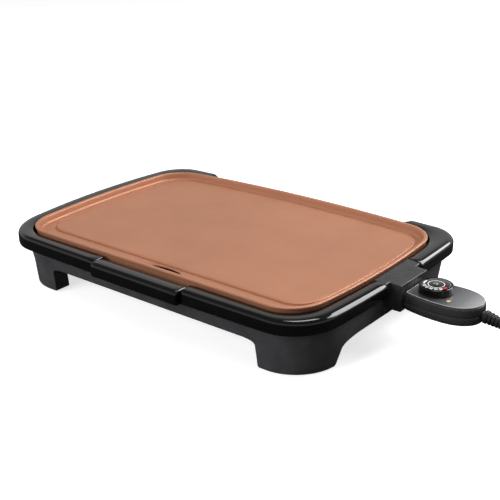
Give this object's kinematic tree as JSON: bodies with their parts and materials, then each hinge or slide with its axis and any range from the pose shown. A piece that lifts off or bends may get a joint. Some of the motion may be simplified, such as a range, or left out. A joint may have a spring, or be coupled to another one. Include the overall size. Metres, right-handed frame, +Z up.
{
  "type": "electric griddle",
  "caption": "Tabletop electric griddle: bowed rectangular non-stick plate on a black base with legs, slide-out drip tray and plug-in heat control with cord.",
  "frame": {"origin": "centre of the griddle's own box (without its cord) on the table surface", "axes": "+X towards the heat control, -Y towards the drip tray, +Z up"},
  "size_m": [0.7424, 0.3244, 0.0737],
  "materials": {
    "gloss_black": "polished black moulding",
    "matte_black": "fine-textured black moulding",
    "steel": "bright steel",
    "shield_steel": "pressed sheet steel",
    "brass": "plated brass",
    "moulded_ceramic": "pale ceramic moulding",
    "copper_nonstick": "cast aluminium with a copper-coloured non-stick coat",
    "grey_panel": "dark grey metallic panel",
    "amber_lens": "clear amber lens",
    "lamp_glass": "small lamp",
    "cord_rubber": "black flexible sheath",
    "foot_rubber": "soft black rubber"
  },
  "bodies": {
    "base": {"rim_front": "gloss_black", "rim_back": "gloss_black", "rim_screw_1": "steel", "rim_screw_2": "steel", "rim_screw_3": "steel", "rim_screw_4": "steel", "rim_screw_5": "steel", "base_skirt": "matte_black", "leg_front_left": "matte_black", "leg_screw_front_left": "steel", "foot_pad_front_left": "foot_rubber", "leg_front_right": "matte_black", "leg_screw_front_right": "steel", "foot_pad_front_right": "foot_rubber", "leg_back_left": "matte_black", "leg_screw_back_left": "steel", "foot_pad_back_left": "foot_rubber", "leg_back_right": "matte_black", "leg_screw_back_right": "steel", "foot_pad_back_right": "foot_rubber", "heat_shield": "shield_steel", "shield_screw_1": "steel", "shield_screw_2": "steel", "shield_screw_3": "steel", "shield_screw_4": "steel", "tray_guide": "matte_black", "guide_screw_left": "steel", "guide_screw_right": "steel"},
    "plate": {"cooking_plate": "copper_nonstick", "heating_element": "steel", "socket_block": "matte_black", "terminal_pin_1": "steel", "terminal_pin_2": "steel", "socket_screw_1": "steel", "socket_screw_2": "steel", "sensor_sleeve": "steel"},
    "drip_tray": {"drip_tray": "matte_black", "tray_front": "gloss_black"},
    "control": {"control_lower_case": "matte_black", "control_upper_case": "matte_black", "control_face_plate": "grey_panel", "case_screw_1": "steel", "case_screw_2": "steel", "contact_carrier": "moulded_ceramic", "contact_sleeve_1": "brass", "contact_sleeve_2": "brass", "sensor_rod": "steel", "thermostat": "moulded_ceramic", "thermostat_shaft": "steel", "indicator_lens": "amber_lens", "indicator_lamp": "lamp_glass", "strain_relief": "cord_rubber", "power_cord": "cord_rubber", "cord_coil": "cord_rubber", "cord_tie": "cord_rubber", "plug_body": "cord_rubber", "plug_blade_1": "brass", "plug_blade_2": "brass"},
    "dial": {"dial_knob": "gloss_black", "dial_scale": "gloss_black"}
  },
  "joints": [
    {"name": "plate_lift", "type": "slide", "parent": "base", "child": "plate", "axis": [0, 0, 1], "range_m": [0, 0.06]},
    {"name": "tray_slide", "type": "slide", "parent": "base", "child": "drip_tray", "axis": [0, -1, 0], "range_m": [0, 0.1]},
    {"name": "control_plug", "type": "slide", "parent": "plate", "child": "control", "axis": [1, 0, 0], "range_m": [0, 0.06]},
    {"name": "dial_turn", "type": "hinge", "parent": "control", "child": "dial", "pos_m": [0.222, 0.0167, 0.0595], "axis": [0, 0, -1], "range_deg": [0, 270]}
  ]
}
